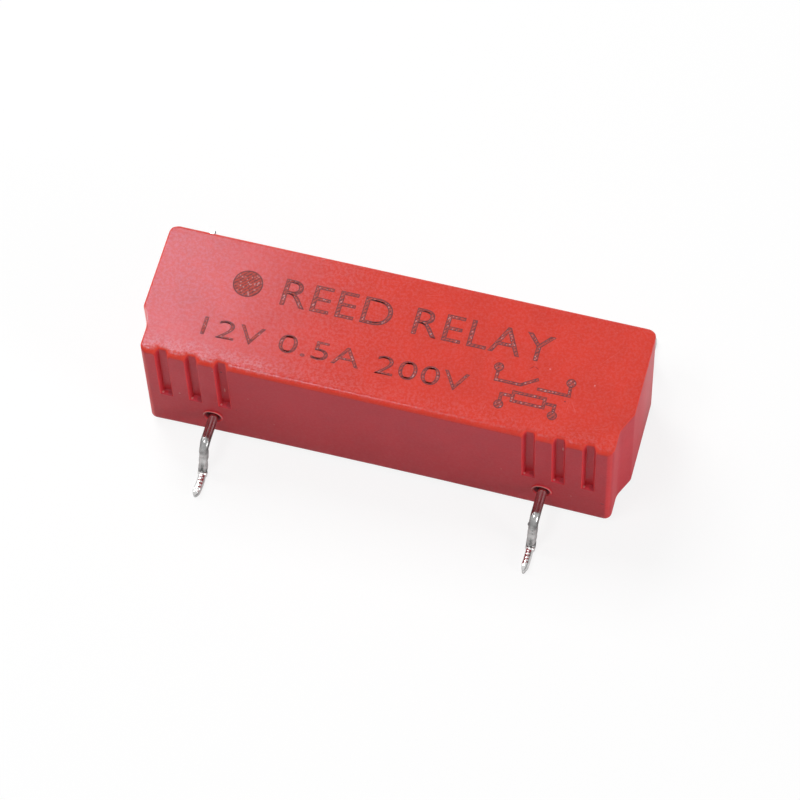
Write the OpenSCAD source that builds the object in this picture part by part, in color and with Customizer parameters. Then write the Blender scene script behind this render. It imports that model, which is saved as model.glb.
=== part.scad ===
// Surface-mount high-voltage reed relay with one normally open contact.
// The origin is the centre of the plane that the four feet stand on. X runs along the case
// and Z is up. The coil terminals leave towards -Y and the switch terminals towards +Y.

/* [Case] */
// Width of the case, front to back
case_w = 8.76; // [8.6:0.02:12]
// Height of the case from its lower edge to its top
case_h = 8.3; // [8:0.1:12]
// Height of the lower edge above the circuit board
standoff = 0.5; // [0.3:0.05:1.2]
// Thickness of the front and back walls
side_wall = 0.8; // [0.6:0.05:0.8]
// Thickness of the end walls
end_wall = 0.6; // [0.4:0.05:1]
// Thickness of the top
roof_t = 0.8; // [0.5:0.05:1]
// Rounding of the two long top edges
edge_r = 0.3; // [0.2:0.05:0.6]
// Rounding of the upright corners at the back
back_corner_r = 0.58; // [0.3:0.01:0.9]
// Rounding of the upright corners at the front
front_corner_r = 0.45; // [0.2:0.01:0.8]

/* [Stepped ends] */
// How far the front part of each end steps in
end_step = 0.58; // [0.3:0.02:0.8]
// Distance of the step's outer corner in front of the centre line
step_start = 1.45; // [1:0.05:1.8]
// Distance of the step's inner corner in front of the centre line
step_stop = 2.7; // [2.4:0.05:3.2]
// Rounding of the step's outer corner
step_outer_r = 0.5; // [0.2:0.05:1]
// Hollow rounding of the step's inner corner
step_inner_r = 1.2; // [0.4:0.05:1.6]

/* [Front grooves] */
// Number of grooves at each end of the front
groove_count = 3; // [1:1:5]
// Distance between neighbouring grooves
groove_pitch = 1.81; // [1.2:0.01:2.2]
// Distance of the outermost groove from the stepped-in end
groove_edge = 1.38; // [1:0.01:2]
// Width of a groove at the face of the wall
groove_w = 0.72; // [0.5:0.01:1]
// Depth of a groove
groove_depth = 0.35; // [0.1:0.01:0.5]
// Slope of the groove's flanks, sideways for each unit of depth
groove_flank = 0.32; // [0.1:0.01:0.6]
// Height of the grooves' lower end above the lower edge of the case
groove_foot = 3.35; // [3:0.05:5]
// Height that the sloped lower end of a groove takes
groove_ramp = 0.1; // [0.1:0.05:0.6]

/* [Lead holes] */
// Gap all round between a terminal and its hole in the case
hole_gap = 0.1; // [0.05:0.01:0.15]
// Widening of the hole's mouth, all round
mouth_flare = 0.12; // [0.1:0.01:0.25]
// Depth of the flared mouth
mouth_depth = 0.15; // [0.1:0.01:0.35]
// Height of the thin rim that stands proud round the mouth
rim_h = 0.04; // [0.02:0.01:0.1]
// Width of that rim
rim_w = 0.06; // [0.04:0.01:0.12]

/* [Terminals] */
// Diameter of the terminal wire
wire_d = 0.6; // [0.5:0.01:0.7]
// Distance between the two coil terminals
coil_pitch = 20.32; // [20.32:0.01:21]
// Distance between the two switch terminals
switch_pitch = 27.94; // [27.4:0.01:33.02]
// Height of the lead holes above the lower edge of the case
exit_h = 1.85; // [1.6:0.05:2.2]
// Run from the case to the corner of the upper bend
shoulder_l = 2; // [1.4:0.05:3]
// Outward lean of the leg from upright
leg_lean = 18; // [0:1:30]
// Radius of the upper bend, to the middle of the wire
upper_bend_r = 0.6; // [0.4:0.05:0.8]
// Radius of the lower bend, to the middle of the wire
lower_bend_r = 0.45; // [0.35:0.05:0.6]
// Radius of the switch terminals' bend inside the case
inner_bend_r = 0.8; // [0.5:0.05:1]
// Length of the foot from the corner of the lower bend to its tip
foot_l = 1.85; // [1.3:0.05:3]
// What hand cutting adds to each foot: coil left, coil right, switch left, switch right
foot_extra = [-0.05, 0.05, 0.45, -0.25]; // [-0.3:0.05:0.6]
// Width of the foot between its pinched flanks
foot_w = 0.46; // [0.36:0.01:0.48]
// How deep the flat sole is pressed into the wire
sole_depth = 0.06; // [0.02:0.01:0.1]
// Length of the pointed tip
nib_l = 0.42; // [0.2:0.01:0.6]
// Width of the pointed tip at its end
nib_w = 0.12; // [0.06:0.01:0.2]

/* [Potting] */
// How far the potting stays back from the lower edge of the case
pot_recess = 0.2; // [0.1:0.05:0.6]
// How far the potting reaches into each lead hole
pot_plug = 0.35; // [0.1:0.05:0.4]

/* [Bobbin and coil] */
// Wall of the bobbin's barrel
barrel_wall = 0.3; // [0.2:0.05:0.4]
// Gap all round between the glass and the bobbin's bore
glass_gap = 0.15; // [0.1:0.01:0.2]
// Depth of the winding
winding_t = 0.75; // [0.5:0.05:0.8]
// How far the flanges stand over the winding
flange_lip = 0.15; // [0.1:0.05:0.2]
// Thickness of a flange
flange_t = 1.4; // [1.2:0.05:1.6]
// Chamfer of the flanges' upper corners
flange_chamfer = 1.1; // [0.4:0.1:1.3]
// Wall of the flange between the terminal and the bore
flange_web = 0.5; // [0.4:0.05:0.6]
// Wall of the flange under the terminal
flange_land = 0.55; // [0.4:0.05:0.6]
// Thickness of the tape over the winding
tape_t = 0.06; // [0.04:0.01:0.1]
// Bare winding at each end of the tape
tape_margin = 0.36; // [0.3:0.02:1]
// Diameter of the coil wire, with its enamel
coil_wire_d = 0.08; // [0.06:0.01:0.1]
// Distance of the coil wire's exit from the flange
wire_exit = 0.18; // [0.1:0.01:0.2]
// Radius of the solder bead where it meets the flange
bead_r = 0.45; // [0.4:0.01:0.5]
// Gap between the solder beads and the back wall
bead_gap = 0.1; // [0.05:0.01:0.2]
// How far the solder covers the end of the terminal's post
post_cover = 0.2; // [0.1:0.05:0.3]
// Depth of the wire slot in the flange's rim
slot_depth = 0.35; // [0.25:0.05:0.45]
// Length of the wire slot along the coil
slot_l = 0.5; // [0.45:0.05:0.6]
// Height of the slot's lower end above the terminal
slot_low = 0.9; // [0.6:0.05:1]

/* [Reed switch] */
// Outer diameter of the glass
glass_d = 2.6; // [2.4:0.05:2.7]
// Length of the glass
glass_l = 20; // [18:0.1:21]
// Wall of the glass tube
glass_wall = 0.3; // [0.2:0.02:0.4]
// Length of the fused seal at each end of the glass
seal_l = 1.4; // [1:0.1:2]
// Diameter of the reed's round wire
reed_d = 0.56; // [0.5:0.01:0.6]
// Width of a reed blade
blade_w = 1.2; // [1:0.05:1.4]
// Thickness of a reed blade
blade_t = 0.2; // [0.14:0.01:0.24]
// Open gap between the blades
blade_gap = 0.14; // [0.1:0.01:0.2]
// How far the blades overlap
blade_lap = 1.2; // [0.8:0.1:2]
// Corner cut of a blade's free end
blade_cut = 0.15; // [0.05:0.05:0.3]
// Length over which the round wire is pressed flat
form_l = 0.9; // [0.6:0.1:1.2]
// Flat root between the pressed length and the flexing blade
root_l = 0.2; // [0.1:0.05:0.4]
// Space that the weld fills between reed and terminal
weld_gap = 0.06; // [0.04:0.01:0.1]
// Diameter of the weld
weld_d = 0.44; // [0.36:0.02:0.48]
// How far the terminal's upright reaches over the reed
upright_l = 0.6; // [0.4:0.05:1]
// Gap between the switch terminals and the end walls
end_gap = 0.03; // [0.02:0.01:0.2]

/* [Hidden] */
$fn = 96;
over = 0.5;
bend_lap = 0.01;
bend_swell = 0.001;
case_l = switch_pitch + wire_d + 2 * (end_gap + end_wall);
case_top = standoff + case_h;
half_w = case_w / 2;
half_l = case_l / 2;
lead_z = standoff + exit_h;
wire_r = wire_d / 2;
hole_r = wire_r + hole_gap;
mouth_r = hole_r + mouth_flare;

glass_r = glass_d / 2;
bore_r = glass_r + glass_gap;
barrel_r = bore_r + barrel_wall;
winding_r = barrel_r + winding_t;
tape_r = winding_r + tape_t;
flange_half = winding_r + flange_lip;
axis_z = lead_z + wire_r + flange_web + bore_r;
flange_low = lead_z - wire_r - flange_land;
coil_x = coil_pitch / 2;
flange_in = coil_x - flange_t / 2;
flange_out = coil_x + flange_t / 2;
bead_l = half_w - side_wall - bead_gap - flange_half;
post_l = bead_l - post_cover;

switch_x = switch_pitch / 2;
reed_r = reed_d / 2;
reed_end = switch_x + wire_r;
upright_y = reed_r + wire_r + weld_gap;
seal_x = glass_l / 2 - seal_l;
cavity_r = glass_r - glass_wall;
form_x = seal_x - 0.1;
flat_x = form_x - form_l;
flex_x = flat_x - root_l;
blade_low = blade_gap / 2;
blade_high = blade_low + blade_t;

foot_z = wire_r - sole_depth;
upper_corner = half_w + shoulder_l;
lower_corner = upper_corner + (lead_z - foot_z) * tan(leg_lean);
foot_start = lower_corner + lower_bend_r * tan((90 - leg_lean) / 2);

// Vector helpers for the rounded outlines and the bent wires
function unit(v) = v / norm(v);
function turn(a, b, c) = cross(b - a, c - b);
function half_angle(a, b, c) = acos(unit(a - b) * unit(c - b)) / 2;
function tangent_l(a, b, c, r) = r / tan(half_angle(a, b, c));
function arc_centre(a, b, c, r) =
    b + unit(unit(a - b) + unit(c - b)) * r / sin(half_angle(a, b, c));
function heading(a, b) = atan2(b[1] - a[1], b[0] - a[0]);

// The sliver between a corner and the arc that rounds it, with its point moved outwards
module corner_sliver(a, b, c, r) {
    centre = arc_centre(a, b, c, r);
    reach = tangent_l(a, b, c, r);
    difference() {
        polygon([b + unit(a - b) * reach, b + unit(b - centre) * r / 2,
            b + unit(c - b) * reach, centre]);
        translate(centre) circle(r);
    }
}

// An outline, drawn anticlockwise, whose corners have true arcs of their own radius
module rounded_outline(pts, radii) {
    n = len(pts);
    difference() {
        union() {
            polygon(pts);
            for (i = [0:n - 1]) {
                a = pts[(i + n - 1) % n];
                b = pts[i];
                c = pts[(i + 1) % n];
                if (radii[i] > 0 && turn(a, b, c) < 0) corner_sliver(a, b, c, radii[i]);
            }
        }
        for (i = [0:n - 1]) {
            a = pts[(i + n - 1) % n];
            b = pts[i];
            c = pts[(i + 1) % n];
            if (radii[i] > 0 && turn(a, b, c) > 0) corner_sliver(a, b, c, radii[i]);
        }
    }
}

// Turns a drawing in X and Y into the Y and Z plane, so that its height runs along X
module across() rotate([90, 0, 90]) children();

// Outline of the case seen from above, drawn in by a wall
module case_plan(end_in, side_in) {
    xb = half_l - end_in;
    xf = xb - end_step;
    y = half_w - side_in;
    rounded_outline(
        [[-xf, -y], [xf, -y], [xf, -step_stop], [xb, -step_start],
            [xb, y], [-xb, y], [-xb, -step_start], [-xf, -step_stop]],
        [max(front_corner_r - end_in, 0), max(front_corner_r - end_in, 0), step_inner_r,
            step_outer_r, max(back_corner_r - end_in, 0), max(back_corner_r - end_in, 0),
            step_outer_r, step_inner_r]);
}

// Cross-section of the case, with its two long top edges rounded
module case_section() {
    rounded_outline(
        [[-half_w, standoff], [half_w, standoff], [half_w, case_top], [-half_w, case_top]],
        [0, 0, edge_r, edge_r]);
}

// One groove in the front wall, open at the top and sloped at its lower end
module groove(x) {
    mouth = groove_w / 2 + over * groove_flank;
    floor_half = groove_w / 2 - groove_depth * groove_flank;
    low_z = standoff + groove_foot;
    intersection() {
        translate([x, -half_w, standoff])
            linear_extrude(case_h + over)
            polygon([[-mouth, -over], [mouth, -over], [floor_half, groove_depth],
                [-floor_half, groove_depth]]);
        translate([x - groove_w, 0, 0]) across() linear_extrude(2 * groove_w)
            polygon([[-half_w - over, low_z - over * groove_ramp / groove_depth],
                [-half_w + groove_depth + over, low_z + groove_ramp * (1 + over / groove_depth)],
                [-half_w + groove_depth + over, case_top + over],
                [-half_w - over, case_top + over]]);
    }
}

// The hole for one terminal, opening towards +Y with its mouth at the origin
module lead_hole() {
    flare = mouth_flare / mouth_depth;
    rotate([-90, 0, 0]) rotate_extrude()
        polygon([[0, -side_wall - over], [hole_r, -side_wall - over], [hole_r, -mouth_depth],
            [mouth_r + rim_h * flare, rim_h], [mouth_r + rim_h * flare, over], [0, over]]);
}

// The rim that the mouth of a lead hole is moulded with
module lead_rim() {
    flare = mouth_flare / mouth_depth;
    outer = mouth_r + rim_h * flare + rim_w;
    rotate([-90, 0, 0]) rotate_extrude()
        polygon([[0, -side_wall / 2], [outer + rim_h, -side_wall / 2], [outer + rim_h, 0],
            [outer, rim_h], [0, rim_h]]);
}

// Places a child at each lead hole, with +Y outwards
module at_lead_holes() {
    for (s = [-1, 1]) {
        translate([s * coil_x, -half_w, lead_z]) rotate([0, 0, 180]) children();
        translate([s * switch_x, half_w, lead_z]) children();
    }
}

module case_cavity(low) {
    translate([0, 0, low])
        linear_extrude(case_top - roof_t - low)
        case_plan(end_wall, side_wall);
}

module case() {
    color("#d9483f") difference() {
        union() {
            intersection() {
                translate([0, 0, standoff]) linear_extrude(case_h) case_plan(0, 0);
                across() linear_extrude(case_l + 2 * over, center = true) case_section();
            }
            at_lead_holes() lead_rim();
        }
        case_cavity(standoff - over);
        at_lead_holes() lead_hole();
        for (s = [-1, 1], i = [0:groove_count - 1])
            groove(s * (half_l - end_step - groove_edge - i * groove_pitch));
    }
}

// A round wire along a path of corners in the Y and Z plane, with a bend radius at each.
// The straight runs end just inside the bends, which are a hair thicker.
module bent_wire(path, radii, d) {
    last = len(path) - 1;
    function reach(i) = i == 0 || i == last ? 0
        : tangent_l(path[i - 1], path[i], path[i + 1], radii[i]);
    function lap(i) = i == 0 || i == last ? 0 : bend_lap;
    across() {
        for (i = [0:last - 1]) {
            along = unit(path[i + 1] - path[i]);
            translate(path[i] + along * (reach(i) - lap(i)))
                rotate([0, 0, heading(path[i], path[i + 1])])
                rotate([0, 90, 0])
                cylinder(d = d, h = norm(path[i + 1] - path[i]) - reach(i) - reach(i + 1)
                    + lap(i) + lap(i + 1));
        }
        for (i = [1:last - 1]) {
            a = path[i - 1];
            b = path[i];
            c = path[i + 1];
            from = turn(a, b, c) > 0 ? heading(a, b) - 90 : heading(b, c) + 90;
            translate(arc_centre(a, b, c, radii[i])) rotate([0, 0, from])
                rotate_extrude(angle = 180 - 2 * half_angle(a, b, c))
                translate([radii[i], 0]) circle(d = d + 2 * bend_swell);
        }
    }
}

// What forming and cutting take off a foot that points to +Y: both flanks, sole and tip
module foot_cuts(tip) {
    wide = wire_d;
    for (s = [-1, 1]) translate([0, 0, -over]) linear_extrude(foot_z + wire_r + over)
        polygon([[s * wide, foot_start - wire_r / 2], [s * wire_r, foot_start - wire_r / 2],
            [s * foot_w / 2, foot_start], [s * foot_w / 2, tip - nib_l],
            [s * nib_w / 2, tip], [s * nib_w / 2, tip + over], [s * wide, tip + over]]);
    translate([-wide, lower_corner - wire_d, -wire_d])
        cube([2 * wide, tip - lower_corner + 2 * wire_d, wire_d]);
    translate([-wide, 0, 0]) across() linear_extrude(2 * wide)
        polygon([[tip - nib_l, 2 * wire_d], [tip - nib_l, foot_z + wire_r],
            [tip, foot_z], [tip + over, foot_z], [tip + over, 2 * wire_d]]);
}

// A terminal that leaves towards +Y, from the given start inside the case
module formed_terminal(start, start_radii, extra) {
    tip = lower_corner + foot_l + extra;
    path = concat(start, [[upper_corner, lead_z], [lower_corner, foot_z], [tip, foot_z]]);
    radii = concat(start_radii, [upper_bend_r, lower_bend_r, 0]);
    color("#b9b9bd") difference() {
        bent_wire(path, radii, wire_d);
        foot_cuts(tip);
    }
}

module coil_terminal(side) {
    translate([side * coil_x, 0, 0]) rotate([0, 0, 180])
        formed_terminal([[-flange_half - post_l, lead_z]], [0],
            foot_extra[side < 0 ? 0 : 1]);
}

module switch_terminal(side) {
    translate([side * switch_x, 0, 0])
        formed_terminal([[upright_y, axis_z + upright_l], [upright_y, lead_z]],
            [0, inner_bend_r], foot_extra[side < 0 ? 2 : 3]);
}

// A flange with a flat foot that carries a terminal across it
module flange() {
    top = axis_z + flange_half;
    across() linear_extrude(flange_t, center = true)
        polygon([[-flange_half, flange_low], [flange_half, flange_low],
            [flange_half, top - flange_chamfer], [flange_half - flange_chamfer, top],
            [-flange_half + flange_chamfer, top], [-flange_half, top - flange_chamfer]]);
}

// A round bar about the axis of the switch
module along_x(r, l) {
    translate([0, 0, axis_z]) rotate([0, 90, 0]) cylinder(r = r, h = l, center = true);
}

// The straight part of a coil terminal, as the holes that it fills see it
module terminal_bar(side) {
    translate([side * coil_x, 0, lead_z]) rotate([90, 0, 0])
        cylinder(d = wire_d, h = 2 * (flange_half + post_l), center = true);
}

// The slot in the rim of a flange that the coil wire leaves through
module wire_slot(side) {
    x = side > 0 ? flange_in - over : -flange_in - slot_l;
    translate([x, flange_half - slot_depth, lead_z + slot_low])
        cube([slot_l + over, slot_depth + over, axis_z - lead_z - slot_low]);
}

module bobbin() {
    color("#2b2b2e") difference() {
        union() {
            along_x(barrel_r, 2 * flange_out);
            for (s = [-1, 1]) translate([s * coil_x, 0, 0]) flange();
        }
        along_x(bore_r, 2 * flange_out + 2 * over);
        for (s = [-1, 1]) {
            terminal_bar(s);
            wire_slot(s);
        }
    }
}

// The stretch of coil wire from the winding to the post of the terminal
module coil_wire(side) {
    from = [side * (flange_in - wire_exit), winding_r - 0.1, axis_z];
    to = [side * coil_x, flange_half + post_l / 2, lead_z];
    run = to - from;
    color("#b5651d") difference() {
        translate(from)
            rotate([0, acos(run[2] / norm(run)), atan2(run[1], run[0])])
            cylinder(d = coil_wire_d, h = norm(run));
        terminal_bar(side);
    }
}

module winding() {
    color("#b87333") difference() {
        along_x(winding_r, 2 * flange_in);
        along_x(barrel_r, 2 * flange_in + over);
        coil_wire(-1);
        coil_wire(1);
    }
}

module winding_tape() {
    color("#c9a227") difference() {
        along_x(tape_r, 2 * (flange_in - tape_margin));
        along_x(winding_r, 2 * flange_in);
    }
}

// A cap of solder that wets the flange and covers the post
module coil_solder(side) {
    cap_r = (pow(bead_r, 2) + pow(bead_l, 2)) / (2 * bead_l);
    color("#a9aab0") translate([side * coil_x, flange_half, lead_z]) difference() {
        translate([0, bead_l - cap_r, 0]) sphere(r = cap_r);
        translate([-2 * cap_r, -4 * cap_r, -2 * cap_r]) cube(4 * cap_r);
        translate([-side * coil_x, -flange_half, -lead_z]) {
            terminal_bar(side);
            coil_wire(side);
        }
    }
}

// A tube with round ends about the axis of the switch
module round_ended(r, l) {
    translate([0, 0, axis_z]) rotate([0, 90, 0]) rotate_extrude() intersection() {
        union() {
            translate([-r, r - l / 2]) square([2 * r, l - 2 * r]);
            for (s = [-1, 1]) translate([0, s * (l / 2 - r)]) circle(r);
        }
        translate([0, -l]) square([r + 1, 2 * l]);
    }
}

module glass_capsule() {
    color("#9fd0b5", 0.5) difference() {
        round_ended(glass_r, glass_l);
        round_ended(cavity_r, 2 * seal_x);
        along_x(reed_r, glass_l + over);
    }
}

// The right-hand reed wire with its blade below the axis, as one length of pressed wire
module reed(from, to) {
    spread = norm([blade_w / 2, blade_high]);
    rim = reed_r + 0.03;
    intersection() {
        translate([0, 0, axis_z]) rotate([0, 90, 0]) {
            translate([0, 0, form_x]) cylinder(r = reed_r, h = reed_end - form_x);
            translate([0, 0, flat_x]) cylinder(r1 = spread, r2 = reed_r, h = form_l);
            translate([0, 0, -blade_lap / 2]) cylinder(r = spread, h = flat_x + blade_lap / 2);
        }
        translate([0, blade_w / 2, axis_z]) rotate([90, 0, 0]) linear_extrude(blade_w)
            polygon([[-blade_lap / 2, -blade_high], [flat_x, -blade_high], [form_x, -rim],
                [reed_end, -rim], [reed_end, rim], [form_x, rim], [flat_x, -blade_low],
                [-blade_lap / 2, -blade_low]]);
        translate([from, -blade_w, axis_z - blade_w])
            cube([to - from, 2 * blade_w, 2 * blade_w]);
    }
}

// Puts what is drawn for the right in its place on either side
module on_side(side) {
    if (side > 0) children();
    else translate([0, 0, 2 * axis_z]) rotate([0, 180, 0]) children();
}

module reed_lead(side) color("#8d8f96") on_side(side) reed(flex_x, reed_end);

module reed_blade(side) {
    color("#c9cace") on_side(side) difference() {
        reed(-blade_lap / 2, flex_x);
        for (s = [-1, 1]) translate([-blade_lap / 2, s * blade_w / 2, axis_z])
            rotate([0, 0, 45])
            cube([blade_cut * sqrt(2), blade_cut * sqrt(2), 2 * blade_w], center = true);
    }
}

module switch_weld(side) {
    color("#77787d") difference() {
        translate([side * switch_x, upright_y, axis_z]) rotate([90, 0, 0])
            cylinder(d = weld_d, h = upright_y);
        along_x(reed_r, 2 * reed_end);
        translate([side * switch_x, upright_y, axis_z - weld_d])
            cylinder(r = wire_r, h = 2 * weld_d);
    }
}

// Potting fills the case round the coil and the switch and reaches into the lead holes
module potting() {
    low = standoff + pot_recess;
    color("#26262a") difference() {
        union() {
            case_cavity(low);
            at_lead_holes() rotate([90, 0, 0]) translate([0, 0, side_wall - pot_plug])
                cylinder(r = hole_r, h = pot_plug + over);
        }
        bobbin();
        winding();
        winding_tape();
        round_ended(glass_r, glass_l);
        for (s = [-1, 1]) {
            coil_terminal(s);
            switch_terminal(s);
            coil_wire(s);
            coil_solder(s);
            reed_lead(s);
            switch_weld(s);
        }
    }
}

case();
potting();
coil_terminal(-1);  // coil_terminal_left
coil_terminal(1);  // coil_terminal_right
switch_terminal(-1);  // switch_terminal_left
switch_terminal(1);  // switch_terminal_right
bobbin();
winding();
winding_tape();
coil_wire(-1);  // coil_start_wire
coil_wire(1);  // coil_finish_wire
coil_solder(-1);  // coil_solder_left
coil_solder(1);  // coil_solder_right
glass_capsule();
reed_lead(-1);  // reed_lead_left
reed_lead(1);  // reed_lead_right
reed_blade(-1);  // reed_blade_left
reed_blade(1);  // reed_blade_right
switch_weld(-1);  // switch_weld_left
switch_weld(1);  // switch_weld_right
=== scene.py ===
import math
from typing import NamedTuple

import bmesh
import bpy
import numpy as np
from bpy.props import FloatProperty, FloatVectorProperty, PointerProperty, StringProperty
from mathutils import Matrix, Vector, noise


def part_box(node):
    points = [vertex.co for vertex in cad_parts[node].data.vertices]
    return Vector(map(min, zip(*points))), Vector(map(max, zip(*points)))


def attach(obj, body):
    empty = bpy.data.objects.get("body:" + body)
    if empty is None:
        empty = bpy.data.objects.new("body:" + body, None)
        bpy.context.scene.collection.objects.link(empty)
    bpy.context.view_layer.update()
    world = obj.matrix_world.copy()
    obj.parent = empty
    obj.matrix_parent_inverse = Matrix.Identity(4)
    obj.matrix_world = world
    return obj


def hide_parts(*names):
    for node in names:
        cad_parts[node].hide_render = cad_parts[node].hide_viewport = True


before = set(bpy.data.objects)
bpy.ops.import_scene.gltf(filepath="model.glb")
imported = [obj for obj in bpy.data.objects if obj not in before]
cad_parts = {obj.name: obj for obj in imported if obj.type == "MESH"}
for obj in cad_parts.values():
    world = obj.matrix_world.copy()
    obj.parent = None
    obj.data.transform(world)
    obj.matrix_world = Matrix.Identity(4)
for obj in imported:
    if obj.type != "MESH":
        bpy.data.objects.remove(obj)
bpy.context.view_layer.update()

bl_info = {
    "name": "Reed relay looks",
    "version": (1, 0, 0),
    "blender": (4, 5, 0),
    "location": "3D View > Sidebar > Relay",
    "description": "Dresses a surface-mount reed relay: case, marks, terminals, coil, switch",
    "category": "Object",
}

# A millimetre in metres
MM = 0.001

# Sizes that the case shares with its solid, in millimetres
CASE_LOW, CASE_HIGH = (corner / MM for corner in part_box("case"))
RIM_H = 0.04
HALF_L = CASE_HIGH.x
HALF_W = CASE_HIGH.y - RIM_H
CASE_FOOT = CASE_LOW.z
TOP_Z = CASE_HIGH.z
MARK_DEPTH = 0.006
CASE_TOP = TOP_Z - MARK_DEPTH
SIDE_WALL = 0.8
END_WALL = 0.6
ROOF_T = 0.8
END_STEP = 0.58
STEP_START = 1.45
STEP_STOP = 2.7
STEP_OUTER_R = 0.5
STEP_INNER_R = 1.2
WALL_BOW = 0.117
BACK_CORNER_R = 0.58
FRONT_CORNER_R = 0.45
LEAST_CORNER_R = 0.05
CORNER_STEPS = 10

# Lead holes and the wire that passes through them, in millimetres. The holes and the grooves
# are shifted along X from where the solid has them, and the holes are lowered as much.
DETAIL_SHIFT = -0.05
COIL_X = 10.16
SWITCH_X = 13.97
LEAD_Z = 2.35
WIRE_R = 0.3
HOLE_R = 0.4
MOUTH_R = 0.52
MOUTH_DEPTH = 0.15
RIM_W = 0.05

# Potting, in millimetres: the seals in the lead holes, how far the skin stands off the face,
# and how high and how wide it creeps up the walls
SEAL_IN = 0.22
SEAL_DEEP = 0.7
SKIN = 0.012
MENISCUS = 0.11
MENISCUS_W = 0.22

# Edges that turn by more degrees than this stay sharp
SHARP_ANGLE = 35


def mm(length):
    """A length of the settings, in millimetres."""
    return length / MM


def smooth(x, low, high):
    """A smooth step from 0 at low to 1 at high."""
    t = np.clip((x - low) / (high - low), 0, 1)
    return t * t * (3 - 2 * t)


def soft_max(a, b, reach):
    """The larger of two values, with the corner between them rounded."""
    gap = np.maximum(reach - np.abs(a - b), 0)
    return np.maximum(a, b) + gap * gap / (4 * reach)


def soft_min(a, b, reach):
    """The smaller of two values, with the corner between them rounded."""
    return -soft_max(-a, -b, reach)


def bell(x, centre, width):
    """A smooth bump of height 1 that is about as wide as twice its width."""
    return np.exp(-(((x - centre) / width) ** 2))


def waver(points, scale, seed):
    """Smooth noise from about -1 to 1 at each point."""
    shift = Vector((seed * 7.3, seed * 3.1, seed * 5.7))
    return np.array([noise.noise(Vector(p) * scale + shift) for p in points])


class PlasticSettings(bpy.types.PropertyGroup):
    """Sizes and colours of the red case"""

    colour: FloatVectorProperty(
        name="Plastic", description="Colour of the moulded case", subtype="COLOR",
        size=3, min=0, max=1, default=(0.708, 0.05, 0.026))
    edge_radius: FloatProperty(
        name="Front top edge", description="Rounding of the top edge over the grooves",
        default=0.4 * MM, unit="LENGTH", precision=5)
    back_radius: FloatProperty(
        name="Back top edge", description="Rounding of the top edge at the back",
        default=0.26 * MM, unit="LENGTH", precision=5)
    end_radius: FloatProperty(
        name="End top edges", description="Rounding of the top edges at the two ends",
        default=0.14 * MM, unit="LENGTH", precision=5)
    foot_radius: FloatProperty(
        name="Lower edge", description="Rounding of the lower edge",
        default=0.08 * MM, unit="LENGTH", precision=5)
    groove_width: FloatProperty(
        name="Groove width", description="Width of a groove at the face of the wall",
        default=0.72 * MM, unit="LENGTH", precision=5)
    groove_depth: FloatProperty(
        name="Groove depth", description="Depth of the grooves in the front",
        default=0.35 * MM, unit="LENGTH", precision=5)


class MarkSettings(bpy.types.PropertyGroup):
    """What is marked on the top"""

    upper_row: StringProperty(
        name="Upper row", description="What kind of part it is", default="REED RELAY")
    lower_row: StringProperty(
        name="Lower row", description="Ratings of the coil and the contact",
        default="12V 0.5A 200V")
    ink: FloatVectorProperty(
        name="Mark", description="Colour that the laser leaves in the plastic",
        subtype="COLOR", size=3, min=0, max=1, default=(0.15, 0.042, 0.047))
    border: FloatProperty(
        name="Border", description="Width of the darker line round each mark",
        default=0.09 * MM, unit="LENGTH", precision=6)
    thickness: FloatProperty(
        name="Thickness", description="How thick the marked skin is",
        default=0.01 * MM, unit="LENGTH", precision=6)


class WireSettings(bpy.types.PropertyGroup):
    """Sizes and colours of the four terminals"""

    tin: FloatVectorProperty(
        name="Tin", description="Colour of the tinned wire", subtype="COLOR",
        size=3, min=0, max=1, default=(0.72, 0.715, 0.71))
    dent: FloatProperty(
        name="Dents", description="Depth of the dents that forming leaves in the leg",
        default=0.035 * MM, unit="LENGTH", precision=6)


class CoilSettings(bpy.types.PropertyGroup):
    """Colours of the potting and the coil"""

    epoxy: FloatVectorProperty(
        name="Potting", description="Colour of the potting", subtype="COLOR",
        size=3, min=0, max=1, default=(0.022, 0.021, 0.023))
    former: FloatVectorProperty(
        name="Bobbin", description="Colour of the bobbin", subtype="COLOR",
        size=3, min=0, max=1, default=(0.03, 0.03, 0.033))
    copper: FloatVectorProperty(
        name="Coil wire", description="Colour of the enamelled copper", subtype="COLOR",
        size=3, min=0, max=1, default=(0.6, 0.2, 0.07))
    tape: FloatVectorProperty(
        name="Tape", description="Colour of the tape over the winding", subtype="COLOR",
        size=3, min=0, max=1, default=(0.62, 0.42, 0.08))
    wire_size: FloatProperty(
        name="Coil wire size", description="Diameter of the coil wire with its enamel",
        default=0.08 * MM, unit="LENGTH", precision=6)


class SwitchSettings(bpy.types.PropertyGroup):
    """Colours of the reed switch"""

    glass: FloatVectorProperty(
        name="Glass", description="Tint of the glass", subtype="COLOR",
        size=3, min=0, max=1, default=(0.72, 0.9, 0.8))
    alloy: FloatVectorProperty(
        name="Reeds", description="Colour of the nickel-iron reeds", subtype="COLOR",
        size=3, min=0, max=1, default=(0.55, 0.54, 0.52))


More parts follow.
